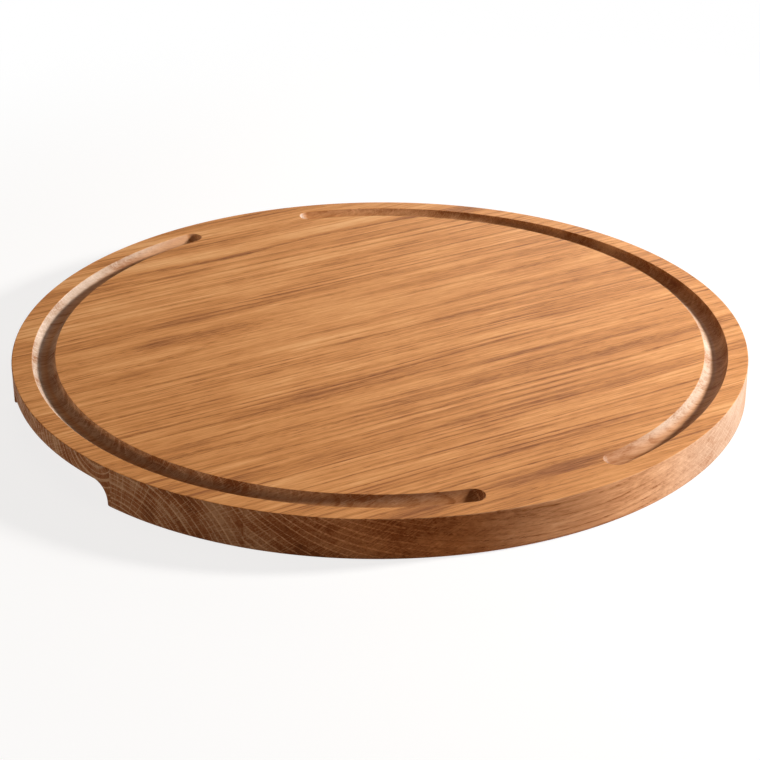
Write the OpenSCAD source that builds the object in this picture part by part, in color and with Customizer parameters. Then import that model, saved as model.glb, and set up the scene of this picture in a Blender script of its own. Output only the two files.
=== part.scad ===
// Round serving board, edge-glued from six parallel oak staves.
// The origin is at the centre of the face it stands on, and +Z is up.
// X runs along the grain, through the two finger recesses.

/* [Board] */
// Diameter of the board
board_d = 360; // [320:5:420]
// Thickness of the board
board_h = 20; // [17:1:30]
// Width of each stave across the grain; the two edge staves take what is left
stave_w = 60; // [50:1:70]
// Eased edge of the rim at the serving face
top_ease = 0.5; // [0.25:0.25:2]
// Eased edge of the rim and of the recesses at the underside
foot_ease = 1.5; // [0.5:0.25:2.5]

/* [Groove] */
// Flat rim between the board's edge and the groove
rim_w = 9.8; // [8:0.2:16]
// Width of the groove at the serving face
groove_w = 11.2; // [9:0.2:16]
// Depth of the groove
groove_depth = 4.2; // [2:0.2:4.4]
// Flat bridge between the groove's two ends, from tip to tip
groove_gap = 60.5; // [30:0.5:120]
// Turn of the two bridges away from square to the grain, in degrees
gap_turn = -3; // [-15:1:15]

/* [Finger recesses] */
// Length of a recess along the rim
grip_l = 115; // [80:1:150]
// Height of a recess above the face that the board stands on
grip_h = 11.5; // [10:0.5:13]
// Reach of a recess in from the rim
grip_reach = 12; // [9:0.5:15]
// Radius of the cove that ends a recess on every side
grip_cove = 9; // [8:0.5:10]

/* [Hidden] */

// How far a cut runs past the face that it opens
cut_over = 1;
// Facets of the large turned surfaces, of the small ones and of the eased edges
rim_fn = 240;
round_fn = 64;
ease_fn = 12;

board_r = board_d / 2;

// The groove is the track of a round-nosed cutter
groove_r = board_r - rim_w - groove_w / 2;
groove_nose = (groove_w * groove_w / 4 + groove_depth * groove_depth) / (2 * groove_depth);
groove_z = board_h - groove_depth + groove_nose;
groove_end = asin((groove_gap + groove_w) / 2 / groove_r);

// The recess is the track of a round-nosed cutter that runs along the rim
grip_r = board_r - grip_reach + grip_cove;
grip_z = grip_h - grip_cove;
grip_tip = asin(grip_l / 2 / board_r);
grip_nose = acos((board_r * board_r + grip_r * grip_r - grip_cove * grip_cove) / (2 * board_r * grip_r));
grip_end = grip_tip - grip_nose;

// What easing takes off a square corner at the origin, in three flats
module corner_waste(radius) {
    translate([-radius, -radius]) difference() {
        square(radius + cut_over);
        circle(radius, $fn = ease_fn);
    }
}

// The turned board before the groove, the recesses and the joints
module board_blank() {
    rotate_extrude($fn = rim_fn) difference() {
        square([board_r, board_h]);
        translate([board_r, board_h]) corner_waste(top_ease);
        translate([board_r, 0]) mirror([0, 1]) corner_waste(foot_ease);
    }
}

// Half of the groove, with a ball at each end
module groove_track() {
    rotate([0, 0, groove_end])
        rotate_extrude(angle = 180 - 2 * groove_end, $fn = rim_fn)
            translate([groove_r, groove_z]) circle(groove_nose, $fn = round_fn);
    for (turn = [groove_end, 180 - groove_end])
        rotate([0, 0, turn]) translate([groove_r, 0, groove_z]) sphere(groove_nose, $fn = round_fn);
}

// Half of the recess cutter's section, flared where it leaves the underside
module grip_half_section() {
    intersection() {
        union() {
            translate([0, grip_z]) circle(grip_cove, $fn = round_fn);
            translate([0, -cut_over]) square([grip_cove, grip_z + cut_over]);
        }
        translate([0, -cut_over]) square([grip_cove, grip_h + cut_over]);
    }
    translate([grip_cove, 0]) rotate(180) corner_waste(foot_ease);
}

// One finger recess, centred on +X
module grip_track() {
    rotate([0, 0, -grip_end])
        rotate_extrude(angle = 2 * grip_end, $fn = rim_fn)
            translate([grip_r, 0]) for (side = [0, 1]) mirror([side, 0]) grip_half_section();
    for (turn = [-grip_end, grip_end])
        rotate([0, 0, turn]) translate([grip_r, 0, 0]) rotate_extrude($fn = round_fn) grip_half_section();
}

// The stave between two joint lines, cut from the finished board
module stave(from_y, to_y) {
    difference() {
        intersection() {
            board_blank();
            translate([-board_r - cut_over, from_y, -cut_over])
                cube([board_d + 2 * cut_over, to_y - from_y, board_h + 2 * cut_over]);
        }
        for (half = [0, 180]) {
            rotate([0, 0, gap_turn - 90 + half]) groove_track();
            rotate([0, 0, half]) grip_track();
        }
    }
}

module front_edge_stave() {
    color("#a8713f") stave(-board_r - cut_over, -2 * stave_w);
}

module front_outer_stave() {
    color("#b98150") stave(-2 * stave_w, -stave_w);
}

module front_inner_stave() {
    color("#b07a49") stave(-stave_w, 0);
}

module back_inner_stave() {
    color("#c08a59") stave(0, stave_w);
}

module back_outer_stave() {
    color("#b47d4c") stave(stave_w, 2 * stave_w);
}

module back_edge_stave() {
    color("#bc8655") stave(2 * stave_w, board_r + cut_over);
}

front_edge_stave();
front_outer_stave();
front_inner_stave();
back_inner_stave();
back_outer_stave();
back_edge_stave();
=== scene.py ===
import math
from types import SimpleNamespace

import bmesh
import bpy
import numpy as np
from mathutils import Matrix, Vector


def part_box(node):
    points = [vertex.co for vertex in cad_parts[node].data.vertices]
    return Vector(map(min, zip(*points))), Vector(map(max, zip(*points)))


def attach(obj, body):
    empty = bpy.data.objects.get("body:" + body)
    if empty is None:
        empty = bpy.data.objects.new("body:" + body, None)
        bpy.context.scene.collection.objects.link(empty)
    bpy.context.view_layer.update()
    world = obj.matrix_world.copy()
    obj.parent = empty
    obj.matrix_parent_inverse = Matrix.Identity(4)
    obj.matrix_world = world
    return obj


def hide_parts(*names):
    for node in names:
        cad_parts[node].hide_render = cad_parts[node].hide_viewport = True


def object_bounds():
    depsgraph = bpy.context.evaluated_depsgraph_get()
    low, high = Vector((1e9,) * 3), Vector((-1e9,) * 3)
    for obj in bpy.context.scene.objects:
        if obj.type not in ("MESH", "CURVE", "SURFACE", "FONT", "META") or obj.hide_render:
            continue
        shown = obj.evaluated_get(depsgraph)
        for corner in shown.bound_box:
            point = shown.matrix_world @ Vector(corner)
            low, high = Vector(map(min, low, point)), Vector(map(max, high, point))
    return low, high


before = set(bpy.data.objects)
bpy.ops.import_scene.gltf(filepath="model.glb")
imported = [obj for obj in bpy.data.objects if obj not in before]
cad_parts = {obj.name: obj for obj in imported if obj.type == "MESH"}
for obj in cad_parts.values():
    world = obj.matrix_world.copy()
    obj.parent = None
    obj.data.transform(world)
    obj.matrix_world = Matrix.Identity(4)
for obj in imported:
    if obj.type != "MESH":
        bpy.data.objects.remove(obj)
cad_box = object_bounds()

# The board and the width of a stave, in millimetres, from the frame
BOARD_R = round(1000 * cad_box[1][0], 3)
BOARD_H = round(1000 * cad_box[1][2], 3)
STAVE = round(1000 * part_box("back_inner_stave")[1][1], 3)
TOP_EASE, FOOT_EASE = 0.5, 1.5

# The groove is the track of a round-nosed cutter, in two halves, with gaps turned by GAP_SKEW degrees
RIM_W, GROOVE_W, GROOVE_DEPTH, GROOVE_EASE = 9.8, 11.2, 4.2, 0.25
GROOVE_GAP, GAP_SKEW = 60.5, -3
GROOVE_R = BOARD_R - RIM_W - GROOVE_W / 2
GROOVE_NOSE = (GROOVE_W ** 2 / 4 + GROOVE_DEPTH ** 2) / (2 * GROOVE_DEPTH)
GROOVE_Z = BOARD_H - GROOVE_DEPTH + GROOVE_NOSE
GROOVE_END = math.asin((GROOVE_GAP + GROOVE_W) / 2 / GROOVE_R)
GAP_TURN = math.radians(GAP_SKEW - 90)

# A finger recess is the track of a round-nosed cutter that runs along the rim
GRIP_L, GRIP_H, GRIP_REACH, COVE = 115.0, 11.5, 12.0, 9.0
LIP_EASE = 0.6
GRIP_R = BOARD_R - GRIP_REACH + COVE
GRIP_Z = GRIP_H - COVE
GRIP_TIP = math.asin(GRIP_L / 2 / BOARD_R)
GRIP_NOSE = math.acos((BOARD_R ** 2 + GRIP_R ** 2 - COVE ** 2) / (2 * BOARD_R * GRIP_R))
GRIP_END = GRIP_TIP - GRIP_NOSE

# Half of the groove's mouth, eased edge included
MOUTH = math.sqrt((GROOVE_NOSE + GROOVE_EASE) ** 2 - (GROOVE_Z - BOARD_H + GROOVE_EASE) ** 2)

# The mesh: a flat polygon on either face inside INNER_R, and around them columns of points from face to face
INNER_R = 150.0
LIP_POINTS, BOWL_POINTS, EASE_POINTS, LOW_POINTS = 6, 12, 7, 64
TOUCHING = 1e-6

# BALL_COLUMNS columns stand over each round end of the groove. From FINE_BEFORE degrees before an end of a
# recess to FINE_PAST past it they stand FINE_DEG apart, and elsewhere COLUMN_DEG.
BALL_COLUMNS = 17
COLUMN_DEG, FINE_DEG = 1.0, 0.11
FINE_BEFORE, FINE_PAST = 0.5, 3.9


def groove_floor(d):
    """Height of the serving face at distance d from the middle of the groove."""
    d = np.abs(d)
    touch = MOUTH * GROOVE_NOSE / (GROOVE_NOSE + GROOVE_EASE)
    bowl = GROOVE_Z - np.sqrt(np.maximum(GROOVE_NOSE ** 2 - d ** 2, 0))
    lip = BOARD_H - GROOVE_EASE + np.sqrt(np.maximum(GROOVE_EASE ** 2 - (MOUTH - d) ** 2, 0))
    return np.where(d >= MOUTH, BOARD_H, np.where(d > touch, lip, bowl))


def groove_shares():
    """Where the mesh's lines lie across the groove, as shares of half its mouth."""
    steepest = math.asin(MOUTH / (GROOVE_NOSE + GROOVE_EASE))
    lip = [MOUTH - GROOVE_EASE * math.sin(a) for a in np.linspace(0, steepest, LIP_POINTS)]
    bowl = [GROOVE_NOSE * math.sin(a) for a in np.linspace(steepest, 0, BOWL_POINTS)[1:]]
    half = np.array(lip + bowl) / MOUTH
    return np.concatenate([-half, half[-2::-1]])


SHARES = groove_shares()


def columns():
    """Angles at which the mesh has a profile, closer together where the groove and the recesses end."""
    spans = []
    for end, way in ((GAP_TURN + GROOVE_END, -1), (GAP_TURN + math.pi - GROOVE_END, 1)):
        quarter = np.linspace(0, math.pi / 2, BALL_COLUMNS)
        spans.append([end + way * math.asin(MOUTH * math.sin(a) / GROOVE_R) for a in quarter])
    for end, way in ((GRIP_END, 1), (-GRIP_END, -1)):
        fine = np.arange(-FINE_BEFORE, FINE_PAST, FINE_DEG)
        spans.append([end + way * math.radians(a) for a in fine])

    # The board is alike after half a turn, so half of the columns are worked out and then repeated
    clear = 0.006
    limits = [(min(span) % math.pi - clear, max(span) % math.pi + clear) for span in spans]
    half = [a % math.pi for span in spans for a in span]
    for a in (math.radians(degrees) for degrees in np.arange(0, 180, COLUMN_DEG)):
        if not any(low < a < high for low, high in limits):
            half.append(a)
    half.sort()
    return np.array(half + [a + math.pi for a in half])


def nearest(angle, centre, period):
    """The turn to angle from the nearest repeat of centre."""
    return (angle - centre + period / 2) % period - period / 2


def top_profile(angle):
    """The serving face, from the inner ring out to the rim's eased edge, as rows of radius and height."""
    from_middle = abs(nearest(angle, GAP_TURN + math.pi / 2, math.pi))
    past = max(from_middle - (math.pi / 2 - GROOVE_END), 0)
    least = GROOVE_R * math.sin(past)
    if least > MOUTH + TOUCHING:
        middle, half = GROOVE_R, MOUTH
        z = np.full(len(SHARES), BOARD_H)
    else:
        middle = GROOVE_R * math.cos(past)
        half = math.sqrt(max(MOUTH ** 2 - least ** 2, 0))
        z = groove_floor(np.sqrt(least ** 2 + SHARES ** 2 * (MOUTH ** 2 - least ** 2)))
    r = middle + SHARES * half
    z[0] = z[-1] = BOARD_H
    edge = BOARD_R - TOP_EASE
    inner = [(INNER_R + (r[0] - INNER_R) * share, BOARD_H) for share in (0, 0.45, 0.8)]
    outer = [(r[-1] + (edge - r[-1]) * share, BOARD_H) for share in (0.25, 0.75)]
    ease = [(edge + TOP_EASE * math.sin(a), BOARD_H - TOP_EASE + TOP_EASE * math.cos(a))
            for a in np.linspace(0, math.pi / 2, EASE_POINTS)]
    return inner + list(zip(r, z)) + outer + ease


def rounded(a, b, ease):
    """Where two cuts meet in an edge, eased to a radius."""
    return np.minimum(np.maximum(a, b), -ease) + np.hypot(np.maximum(a + ease, 0), np.maximum(b + ease, 0))


def foot_field(r, z, past):
    """Below zero in the wood. past is the angle past the end of the recess, or below zero along it."""
    d = np.where(past <= 0, np.abs(r - GRIP_R), np.sqrt(r ** 2 + GRIP_R ** 2 - 2 * r * GRIP_R * np.cos(past)))
    recess = np.where(z > GRIP_Z, np.hypot(d, z - GRIP_Z), d) - COVE
    wall = rounded(r - BOARD_R, -recess, LIP_EASE)
    return rounded(wall, -z, FOOT_EASE)


def foot_rays(count):
    """Starts and directions, in the wood, of the rays that find the wall, the recess and the underside."""
    recess_back = GRIP_R - COVE
    # The share of the rays before each row, and its radius, height and heading in degrees
    keys = np.array([
        (0.00, BOARD_R - 3.5, 14.5, 0),
        (0.20, BOARD_R - 4, 14.0, -45),
        (0.40, BOARD_R - 6, 14.0, -78),
        (0.62, recess_back - 1.4, 11.0, -80),
        (0.75, recess_back - 2.2, 9.0, -90),
        (1.00, INNER_R, 6.0, -90),
    ])
    share = np.linspace(0, 1, count)
    r, z, heading = (np.interp(share, keys[:, 0], column) for column in keys[:, 1:].T)
    return r, z, np.cos(np.radians(heading)), np.sin(np.radians(heading))


def spread_points(row_r, row_z):
    """LOW_POINTS points along a profile, closer together where it turns and wider apart on the underside."""
    turn_worth, most_turn = 3.0, 0.5
    underside_z, underside_worth = 0.02, 0.45
    seg_r, seg_z = np.diff(row_r), np.diff(row_z)
    heading = np.unwrap(np.arctan2(seg_z, seg_r))
    turn = np.concatenate([[0], np.abs(np.diff(heading))])
    worth = np.where(row_z[1:] < underside_z, underside_worth, 1.0)
    weight = np.hypot(seg_r, seg_z) * worth + turn_worth * np.minimum(turn, most_turn)
    along = np.concatenate([[0], np.cumsum(weight)])
    at = np.linspace(0, along[-1], LOW_POINTS)
    return np.stack([np.interp(at, along, row_r), np.interp(at, along, row_z)], 1)


def foot_profiles(pasts):
    """One row of points for each angle in pasts, from the wall down and in to the inner ring."""
    rays, strides, stride = 900, 90, 0.8
    start_r, start_z, way_r, way_z = foot_rays(rays)
    past = np.array(pasts)[:, None]
    t = np.zeros((len(pasts), rays))
    for _ in range(strides):
        t -= stride * foot_field(start_r + t * way_r, start_z + t * way_z, past)
    return [spread_points(*row) for row in zip(start_r + t * way_r, start_z + t * way_z)]


def board_grid():
    """The whole board as a grid of points in metres, one row of them to an angle."""
    angles = columns()
    # The profile stays the same along a recess, and again from 5 degrees past its end
    along, clear = -1e-3, math.radians(5)
    pasts = [round(min(max(abs(nearest(a, 0, math.pi)) - GRIP_END, along), clear), 9) for a in angles]
    distinct = sorted(set(pasts))
    found = dict(zip(distinct, foot_profiles(distinct)))
    rows = []
    for a, past in zip(angles, pasts):
        profile = np.array(top_profile(a) + [tuple(point) for point in found[past]])
        profile[-1] = (INNER_R, 0.0)
        rows.append(np.stack([profile[:, 0] * math.cos(a), profile[:, 0] * math.sin(a), profile[:, 1]], 1))
    return np.array(rows) / 1000


GRID = board_grid()


def board_mesh(name):
    """The whole board, closed."""
    m, k, _ = GRID.shape
    index = np.arange(m * k).reshape(m, k)
    after = np.roll(index, -1, 0)
    quads = np.stack([index[:, :-1], after[:, :-1], after[:, 1:], index[:, 1:]], -1).reshape(-1, 4)
    faces = quads[:, ::-1].tolist() + [index[:, 0].tolist(), index[::-1, -1].tolist()]
    mesh = bpy.data.meshes.new(name)
    mesh.from_pydata(GRID.reshape(-1, 3).tolist(), [], faces)
    return mesh


def is_joint_face(face):
    """Whether a face is a flat end that a cut across Y leaves: it has more corners than any on the wall."""
    return abs(face.normal.y) > 0.999 and len(face.verts) > 30


def stave(name, low, high):
    """A piece of the board between two lines across the grain, in millimetres, or None for the rim."""
    same_point, on_plane = 2e-6, 1e-6
    mesh = board_mesh(name)
    bm = bmesh.new()
    bm.from_mesh(mesh)
    bmesh.ops.remove_doubles(bm, verts=bm.verts, dist=same_point)
    for y, sign in ((low, -1), (high, 1)):
        if y is None:
            continue
        found = bmesh.ops.bisect_plane(bm, geom=bm.verts[:] + bm.edges[:] + bm.faces[:], dist=on_plane,
                                       plane_co=(0, y / 1000, 0), plane_no=(0, sign, 0), clear_outer=True)
        edges = [g for g in found["geom_cut"] if isinstance(g, bmesh.types.BMEdge)]
        bmesh.ops.edgeloop_fill(bm, edges=edges)
    bmesh.ops.recalc_face_normals(bm, faces=bm.faces)
    for face in bm.faces:
        face.smooth = True
    for edge in bm.edges:
        if len(edge.link_faces) == 2 and any(is_joint_face(face) for face in edge.link_faces):
            edge.smooth = False
    bm.to_mesh(mesh)
    bm.free()
    piece = bpy.data.objects.new(name, mesh)
    bpy.context.scene.collection.objects.link(piece)
    even = piece.modifiers.new("even_shading", "WEIGHTED_NORMAL")
    even.keep_sharp = True
    even.weight = 60
    return piece


# Each piece, the node that it replaces, and the lines in Y that bound it
STAVES = [
    ("front_edge", "front_edge_stave", None, -2 * STAVE),
    ("front_outer", "front_outer_stave", -2 * STAVE, -STAVE),
    ("front_inner", "front_inner_stave", -STAVE, 0.0),
    ("back_inner", "back_inner_stave", 0.0, STAVE),
    ("back_outer", "back_outer_stave", STAVE, 2 * STAVE),
    ("back_edge", "back_edge_stave", 2 * STAVE, None),
]

pieces = {}
for piece_name, node, low, high in STAVES:
    piece = stave(piece_name, low, high)
    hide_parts(node)
    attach(piece, "root")
    pieces[piece_name] = piece


class Graph:
    """Short names for the nodes of one material or world."""

    def __init__(self, tree):
        self.tree = tree

    def put(self, socket, value):
        """Links a socket to an output, or sets it to a value. None leaves it alone."""
        if isinstance(value, bpy.types.NodeSocket):
            self.tree.links.new(value, socket)
        elif value is not None:
            socket.default_value = value

    def node(self, kind, settings=(), **sockets):
        """A new node, with values or links for its sockets, whose names have _ for a space."""
        n = self.tree.nodes.new(kind)
        for key, value in settings:
            setattr(n, key, value)
        for key, value in sockets.items():
            self.put(n.inputs[key.replace("_", " ")], value)
        return n

    def filled(self, n, *values):
        """Fills a node's sockets in their order, and returns its first output."""
        for socket, value in zip(n.inputs, values):
            self.put(socket, value)
        return n.outputs[0]

    def math(self, operation, a, b=None, c=None, clamp=False):
        n = self.node("ShaderNodeMath", [("operation", operation), ("use_clamp", clamp)])
        return self.filled(n, a, b, c)

    def add(self, a, b):
        return self.math("ADD", a, b)

    def less(self, a, b):
        return self.math("SUBTRACT", a, b)

    def mul(self, a, b):
        return self.math("MULTIPLY", a, b)

    def total(self, start, *parts):
        """start and each part times its weight, added up."""
        for value, weight in parts:
            start = self.math("MULTIPLY_ADD", value, weight, start)
        return start

    def step(self, value, low, high, to_low=0.0, to_high=1.0):
        """A smooth step of value from to_low at low to to_high at high."""
        return self.node("ShaderNodeMapRange", [("interpolation_type", "SMOOTHSTEP")], Value=value,
                         From_Min=low, From_Max=high, To_Min=to_low, To_Max=to_high).outputs[0]

    def join(self, x, y, z):
        return self.node("ShaderNodeCombineXYZ", X=x, Y=y, Z=z).outputs[0]

    def parts(self, vector):
        return self.node("ShaderNodeSeparateXYZ", Vector=vector).outputs

    def scaled(self, vector, scale, shift=(0, 0, 0)):
        return self.node("ShaderNodeMapping", Vector=vector, Scale=scale, Location=shift).outputs[0]

    def noise(self, vector, detail=2.0, rough=0.5):
        """Noise from -0.5 to 0.5."""
        n = self.node("ShaderNodeTexNoise", Vector=vector, Scale=1.0, Detail=detail, Roughness=rough)
        return self.less(n.outputs[0], 0.5)

    def blend_value(self, factor, a, b):
        return self.total(a, (factor, self.less(b, a)))

    def blend(self, factor, a, b):
        n = self.node("ShaderNodeMix", [("data_type", "RGBA")])
        # By number, because the node's sockets for other types of value have the same names
        for socket, value in ((0, factor), (6, a), (7, b)):
            self.put(n.inputs[socket], value)
        return n.outputs[2]

    def ramp(self, value, stops):
        n = self.tree.nodes.new("ShaderNodeValToRGB")
        self.put(n.inputs[0], value)
        elements = n.color_ramp.elements
        while len(elements) > 1:
            elements.remove(elements[-1])
        elements[0].position, elements[0].color = stops[0][0], (*stops[0][1], 1)
        for position, colour in stops[1:]:
            elements.new(position).color = (*colour, 1)
        return n.outputs[0]

    def mix_shader(self, factor, a, b):
        return self.filled(self.node("ShaderNodeMixShader"), factor, a, b)


def grain_noise(g, own, length, width, shift=(0, 0, 0), detail=2.0, rough=0.5):
    """Noise drawn out along the grain, of about this length and width in millimetres."""
    return g.noise(g.scaled(own, (1 / length, 1 / width, 1 / width), shift), detail, rough)


def grain_layers(g, own):
    """The fibres, streaks and tones of long grain. A shift keeps each from looking like another."""
    return SimpleNamespace(
        fibre=grain_noise(g, own, 20, 0.55, (1, 2, 3), 3, 0.65),
        fleck=grain_noise(g, own, 7, 0.75, (6, 1, 8), 2, 0.6),
        thread=grain_noise(g, own, 38, 1.2, (8, 3, 1), 2, 0.6),
        streak=grain_noise(g, own, 90, 2.4, (4, 5, 6), 2, 0.5),
        band=grain_noise(g, own, 240, 15, (7, 8, 9), 1),
        blotch=grain_noise(g, own, 34, 16, (2, 9, 5), 2),
    )


def growth(g, own, spot, fibre, pith, ring, seed):
    """The growth rings, of uneven width and strength.

    reach and bearing place a point around the pith. luck is a ring's own number from 0 to 1, and strength
    how clear it is along its length. spring is 1 in its open early wood, and mark is its line on long grain.
    """
    x, y, z = spot
    # The grain wanders along the board
    wandering_y = g.total(y, (grain_noise(g, own, 190, 60, detail=1.5), 8.0),
                          (grain_noise(g, own, 55, 10, (3, 17, 9), 2), 1.3))
    wandering_z = g.total(z, (grain_noise(g, own, 170, 50, (31, 7, 3), 1.5), 6.0))
    dy = g.less(wandering_y, pith[0])
    dz = g.less(wandering_z, pith[1])
    reach = g.math("SQRT", g.add(g.mul(dy, dy), g.mul(dz, dz)))

    year = g.mul(reach, 1 / ring)
    year = g.total(year, (g.noise(g.join(g.mul(year, 0.6), seed * 3.7, 0.0), 1.0), 1.5), (fibre, 0.12))
    number = g.math("FLOOR", year)
    phase = g.less(year, number)
    luck = g.node("ShaderNodeTexWhiteNoise", [("noise_dimensions", "1D")],
                  W=g.add(number, seed * 11.3)).outputs["Value"]
    along = g.noise(g.join(g.mul(x, 1 / 75), g.mul(number, 7.7), seed * 1.0), 1.0)
    strength = g.math("ADD", g.total(0.2, (g.mul(luck, luck), 0.8)), g.mul(along, 1.4), clamp=True)
    soft = g.mul(g.step(phase, 0.0, 0.12), g.step(phase, 0.12, 0.60, 1.0, 0.0))
    return SimpleNamespace(
        reach=reach,
        bearing=g.math("ARCTAN2", dy, dz),
        luck=luck,
        strength=strength,
        spring=g.mul(g.step(phase, 0.0, 0.06), g.step(phase, 0.16, 0.34, 1.0, 0.0)),
        mark=g.mul(soft, strength),
    )


def surfaces(g, spot):
    """What kind of surface a point lies on, each from 0 to 1.

    end is 1 on end grain, long 1 along the grain, and ringed like end but sooner. cut is 1 where a cutter has
    run and 0 on the two planed faces, and inside is the same but 0 on the board's wall. side is painted
    light:
    1 on walls that face +X, towards the key light, and less on walls that face -X. lit_end_grain is the end
    grain and even the wall, both towards +X, where the key light falls; both carry painted highlight. pale is
    how much the routed colour shows: partly the freshly routed wood, partly painted highlight on the lit
    side.
    """
    x, y, z = spot
    facing = g.parts(g.node("ShaderNodeNewGeometry").outputs["Normal"])[0]
    slope = g.math("ABSOLUTE", facing)
    end = g.step(slope, 0.2, 0.85)
    cut = g.mul(g.step(z, BOARD_H - 0.14, BOARD_H - 0.02, 1.0, 0.0), g.step(z, 0.05, 0.3))
    rim = g.step(g.math("SQRT", g.add(g.mul(x, x), g.mul(y, y))), BOARD_R - 4, BOARD_R - 1)
    # Painted highlight and painted shade: walls that face +X, towards the key light, count fully, and walls
    # that face away count less, least on the +X side, where they lie in their own shade
    side = g.step(facing, -0.15, 0.1, g.step(x, -150.0, 100.0, 0.6, 0.25), 1.0)
    inside_pale = g.mul(g.total(0.4, (g.step(slope, 0.12, 0.42), 0.6)), side)
    # The wall shows more of the routed colour towards +X, where the key light falls: painted highlight. On
    # end grain the paleness is the wood's own.
    wall_pale = g.total(g.step(x, 20.0, 90.0, 0.3, 0.8), (g.math("POWER", end, 3.0), 0.7))
    return SimpleNamespace(
        end=end,
        long=g.less(1.0, end),
        ringed=g.step(slope, 0.15, 0.6),
        cut=cut,
        inside=g.mul(cut, g.less(1.0, rim)),
        side=side,
        # Painted highlight: the end grain and the wall towards +X, where the key light falls, are marked for
        # a paler, flatter look
        lit_end_grain=g.mul(end, g.step(x, 40.0, 150.0)),
        even=g.mul(g.mul(cut, rim), g.step(x, 20.0, 110.0)),
        pale=g.mul(cut, g.blend_value(rim, inside_pale, wall_pale)),
    )


def pores(g, own, spring):
    """Dots on end grain and dashes along the grain, larger in the early wood."""
    cells = g.node("ShaderNodeTexVoronoi", Vector=g.scaled(own, (1 / 8, 1 / 0.5, 1 / 0.5)), Scale=1.0)
    size = g.total(0.12, (spring, 0.26))
    hole = g.math("SUBTRACT", 1.0, g.math("DIVIDE", cells.outputs["Distance"], size), clamp=True)
    return g.step(hole, 0.0, 0.5)


def rays(g, own, x, rings, distance, seed):
    """Plates that run out from the pith, spaced by pitch at this distance from it."""
    pitch = 0.95
    fan = g.total(g.mul(rings.bearing, distance / pitch), (grain_noise(g, own, 60, 20, (9, 2, 4), 1), 2.0))
    fan = g.total(fan, (g.noise(g.join(g.mul(fan, 0.8), seed * 5.1, 0.0), 1.0), 2.2))
    plate = g.math("FLOOR", fan)
    across = g.math("ABSOLUTE", g.total(-1.0, (g.less(fan, plate), 2.0)))
    broken = g.noise(g.join(g.mul(x, 1 / 8), g.mul(plate, 5.31), g.mul(rings.reach, 1 / 7)), 1.5)
    return g.mul(g.step(across, 0.45, 0.85), g.step(broken, -0.06, 0.10))


def shading(g, x, tone, grain, rings, face, pore, ray):
    """How light the wood is, from 0 to 1: the stave's tone, and what each feature adds to it."""
    # Towards +X, where the key light falls, the end grain loses ring lines, streaks and rays: painted
    # highlight
    open_rings = g.mul(g.total(face.ringed, (face.lit_end_grain, -0.75)), g.total(1.0, (face.inside, -0.5)))
    open_tone = g.total(0.27, (rings.strength, 0.14), (grain.fleck, 0.7), (grain.fibre, 0.9))
    shade = g.total(
        tone,
        (grain.band, 0.60),
        (grain.streak, g.total(0.50, (face.end, -0.20), (face.lit_end_grain, -0.16))),
        (g.mul(grain.thread, face.long), 0.44),
        (grain.fibre, 0.50),
        (grain.fleck, g.total(0.36, (face.end, -0.16))),
        (grain.blotch, 0.36),
        (g.less(rings.luck, 0.5), 0.08),
        (g.mul(rings.mark, face.long), g.total(-0.28, (face.cut, 0.02))),
        (g.mul(pore, face.long), -0.22),
        (g.mul(g.mul(ray, face.long), face.cut), g.total(0.07, (face.ringed, 0.12))),
        (g.mul(rings.spring, open_rings), open_tone),
        (g.mul(pore, face.end), -0.12),
        (ray, g.total(g.mul(face.end, 0.22), (face.lit_end_grain, -0.14))),
        (face.cut, -0.03),
        (face.ringed, -0.06),
        (face.end, -0.20),
    )
    # The wall towards +X is drawn towards a set shade, which evens it out where the key light falls on it:
    # painted highlight. Then the groove and the recesses are drawn towards a shade of their own
    shade = g.total(shade, (face.even, g.total(g.step(x, 85.0, 150.0, 0.32, 0.26), (shade, -0.62))))
    level = g.mul(face.long, g.total(0.12, (shade, -0.55)))
    shade = g.total(shade, (g.mul(face.inside, face.end), 0.02), (face.inside, level))
    # Groove and recess walls are painted lighter the more they face +X, towards the key light: painted
    # highlight, and least where they face away on the +X side: painted shade
    return g.total(shade, (g.mul(face.inside, face.side), 0.07))


def relief(g, grain, rings, face, pore, ray):
    """The small unevenness of the surface."""
    lift = g.total(g.mul(pore, -0.6), (grain.fibre, 0.35), (rings.mark, -0.25), (g.mul(ray, face.end), 0.3),
                   (grain.fleck, 0.25))
    lift = g.mul(lift, g.total(1.0, (face.even, -0.5)))
    return g.node("ShaderNodeBump", Height=lift, Strength=0.5, Distance=0.00012).outputs[0]


# Linear colours at shades from 0 to 1, of the planed and oiled wood and of the freshly routed wood. The
# routed colour also serves as painted highlight on the walls that the key light falls on
OILED = [(0.0, (0.085, 0.022, 0.005)), (0.28, (0.28, 0.096, 0.026)), (0.55, (0.58, 0.243, 0.071)),
         (0.78, (0.745, 0.355, 0.128)), (1.0, (0.86, 0.49, 0.22))]
ROUTED = [(0.0, (0.085, 0.032, 0.012)), (0.30, (0.30, 0.130, 0.056)), (0.39, (0.385, 0.228, 0.145)),
          (0.50, (0.475, 0.345, 0.255)), (1.0, (0.73, 0.60, 0.50))]


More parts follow.
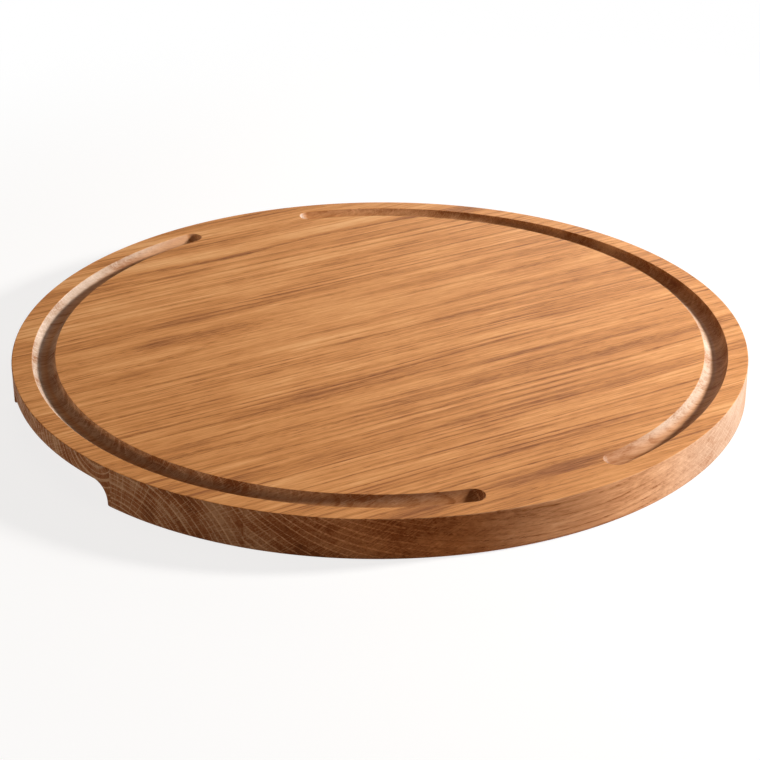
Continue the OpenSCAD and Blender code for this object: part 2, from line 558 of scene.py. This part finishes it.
def oak(name, pith, ring, seed, tone, middle):
    """Oiled oak of one stave, with the grain along X.

    pith is where the tree's middle lies in Y and Z, ring a year's growth and middle the stave's Y, all in
    millimetres. seed sets the pattern apart from the other staves', and tone is how light the wood is.
    """
    material = bpy.data.materials.new(name)
    material.use_nodes = True
    g = Graph(material.node_tree)
    place = g.scaled(g.node("ShaderNodeTexCoord").outputs["Object"], (1000, 1000, 1000))
    own = g.scaled(place, (1, 1, 1), (seed * 431.0, 0, seed * 57.0))
    spot = g.parts(place)
    grain = grain_layers(g, own)
    rings = growth(g, own, spot, grain.fibre, pith, ring, seed)
    face = surfaces(g, spot)
    pore = pores(g, own, rings.spring)
    ray = rays(g, own, spot[0], rings, math.hypot(middle - pith[0], BOARD_H / 2 - pith[1]), seed)
    shade = shading(g, spot[0], tone, grain, rings, face, pore, ray)
    sockets = material.node_tree.nodes["Principled BSDF"].inputs
    # Cut surfaces take the routed colour, and more so where the key light falls: partly the routed wood,
    # partly painted highlight
    g.put(sockets["Base Color"], g.blend(face.pale, g.ramp(shade, OILED), g.ramp(shade, ROUTED)))
    g.put(sockets["Roughness"], g.total(0.60, (grain.fibre, 0.10), (pore, 0.12), (face.cut, 0.10)))
    g.put(sockets["Specular IOR Level"], 0.10)
    g.put(sockets["Normal"], relief(g, grain, rings, face, pore, ray))
    return material


# Each stave's pith in Y and Z, ring width and tone, from front to back
TIMBER = {
    "front_edge": ((-205.0, 90.0), 2.8, 0.61),
    "front_outer": ((-62.0, -19.0), 2.5, 0.62),
    "front_inner": ((-50.0, 30.0), 2.9, 0.62),
    "back_inner": ((38.0, -40.0), 3.3, 0.66),
    "back_outer": ((128.0, 48.0), 3.7, 0.67),
    "back_edge": ((120.0, -35.0), 3.4, 0.71),
}
for number, (piece_name, (pith, ring, tone)) in enumerate(TIMBER.items(), 1):
    middle = (number - (len(TIMBER) + 1) / 2) * STAVE
    pieces[piece_name].data.materials.append(oak("oak_" + piece_name, pith, ring, number, tone, middle))


# The camera: its focal length and the picture's width in pixels, its sensor in millimetres, its place in
# metres and its angles in radians. TURN takes it around the board, away from square to the grain.
FOCAL_PX, PICTURE_PX = 2071.6, 760
SENSOR = 36
CAMERA_AT = (-0.4546, -0.8084, 0.4553)
TILT, ROLL, TURN = 0.4602, -0.0044, math.radians(-29.35)
back = Vector((0, -math.cos(TILT), math.sin(TILT)))
right = Vector((1, 0, 0))
rise = Vector((0, math.sin(TILT), math.cos(TILT)))
cam_x = math.cos(ROLL) * right + math.sin(ROLL) * rise
cam_y = -math.sin(ROLL) * right + math.cos(ROLL) * rise
turn = Matrix.Rotation(TURN, 3, "Z")
axes = Matrix([turn @ cam_x, turn @ cam_y, turn @ back]).transposed().to_4x4()
camera = bpy.data.objects.new("camera", bpy.data.cameras.new("camera"))
camera.data.sensor_width = SENSOR
camera.data.lens = FOCAL_PX * SENSOR / PICTURE_PX
camera.matrix_world = Matrix.Translation(CAMERA_AT) @ axes
bpy.context.scene.collection.objects.link(camera)
bpy.context.scene.camera = camera


def lamp(name, azimuth, elevation, distance, width, power, colour):
    """A square soft box that faces the board's centre, in degrees, metres and watts."""
    a, e = math.radians(azimuth), math.radians(elevation)
    way = Vector((math.cos(e) * math.cos(a), math.cos(e) * math.sin(a), math.sin(e)))
    data = bpy.data.lights.new(name, "AREA")
    data.size = width
    data.energy = power
    data.color = colour
    light = bpy.data.objects.new(name, data)
    light.location = way * distance
    light.rotation_euler = way.to_track_quat("Z", "Y").to_euler()
    bpy.context.scene.collection.objects.link(light)


lamp("key", -26, 23, 1.15, 0.14, 23.5, (1, 0.97, 0.94))
lamp("overhead", 60, 75, 1.6, 0.9, 1.4, (1, 0.84, 0.68))
lamp("back", 46, 16, 1.2, 0.4, 3.4, (1, 1, 1))
lamp("front", 174, 7, 1.8, 0.34, 7.6, (1, 0.66, 0.40))


def camera_white(g, shown, unseen):
    """Joins two shaders: one for camera, glossy and transmission rays, one for the rest."""
    path = g.node("ShaderNodeLightPath").outputs
    direct = g.math("MAXIMUM", path["Is Camera Ray"], path["Is Glossy Ray"])
    direct = g.math("MAXIMUM", direct, path["Is Transmission Ray"])
    return g.mix_shader(direct, unseen, shown)


def studio():
    """A world that looks white, and lights the board dimly from around and more from below."""
    world = bpy.data.worlds.new("studio")
    world.use_nodes = True
    world.node_tree.nodes.clear()
    g = Graph(world.node_tree)

    def background(colour, strength):
        return g.node("ShaderNodeBackground", Color=(*colour, 1), Strength=strength).outputs[0]

    white = background((1, 1, 1), 1.0)
    fill = background((1.0, 0.66, 0.42), 0.08)
    # The floor keeps the light from below off all but the board's underside
    below = background((1, 0.97, 0.94), 0.75)
    height = g.parts(g.node("ShaderNodeTexCoord").outputs["Generated"])[2]
    around = g.mix_shader(g.math("LESS_THAN", height, 0.0), fill, below)
    g.node("ShaderNodeOutputWorld", Surface=camera_white(g, white, around))
    return world


bpy.context.scene.world = studio()


def paper():
    """Grey and faintly glowing paper, which turns into the white background away from the board."""
    material = bpy.data.materials.new("paper")
    material.use_nodes = True
    material.node_tree.nodes.clear()
    g = Graph(material.node_tree)

    def diffuse(colour):
        return g.node("ShaderNodeBsdfDiffuse", Color=(*colour, 1)).outputs[0]

    def glow(strength):
        return g.node("ShaderNodeEmission", Strength=strength).outputs[0]

    near = g.filled(g.node("ShaderNodeAddShader"), diffuse((0.25, 0.25, 0.25)), glow(0.8))
    place = g.node("ShaderNodeTexCoord").outputs["Object"]
    away = g.node("ShaderNodeVectorMath", [("operation", "LENGTH")], Vector=place).outputs["Value"]
    seen = g.mix_shader(g.step(away, 0.26, 0.60), near, glow(1.0))
    bounce = diffuse((0.4, 0.22, 0.11))
    g.node("ShaderNodeOutputMaterial", Surface=camera_white(g, seen, bounce))
    return material


def underside_reach(angle):
    """How far out the floor's opening runs at an angle: almost as far as the board's flat underside."""
    margin = 0.5
    past = max(min(angle % math.pi, -angle % math.pi) - GRIP_END, 0)
    mouth = COVE + FOOT_EASE
    aside = GRIP_R * math.sin(past)
    reach = BOARD_R - FOOT_EASE
    if aside < mouth:
        reach = min(reach, GRIP_R * math.cos(past) - math.sqrt(mouth ** 2 - aside ** 2))
    return reach - margin


def open_floor():
    """The floor, in metres, open where the board stands so that the underside shows from below.

    It lies lower than the board by drop, so that the two don't touch.
    """
    floor_r, drop, spokes = 4.0, 0.0001, 720
    corners, faces = [], []
    for k in range(spokes):
        angle = 2 * math.pi * k / spokes
        for reach in (underside_reach(angle) / 1000, floor_r):
            corners.append((reach * math.cos(angle), reach * math.sin(angle), -drop))
        after = (k + 1) % spokes
        faces.append((2 * k, 2 * k + 1, 2 * after + 1, 2 * after))
    mesh = bpy.data.meshes.new("floor")
    mesh.from_pydata(corners, [], faces)
    mesh.materials.append(paper())
    return bpy.data.objects.new("floor", mesh)


floor = open_floor()
bpy.context.scene.collection.objects.link(floor)

bpy.context.scene.view_settings.view_transform = "Standard"

bpy.context.view_layer.update()
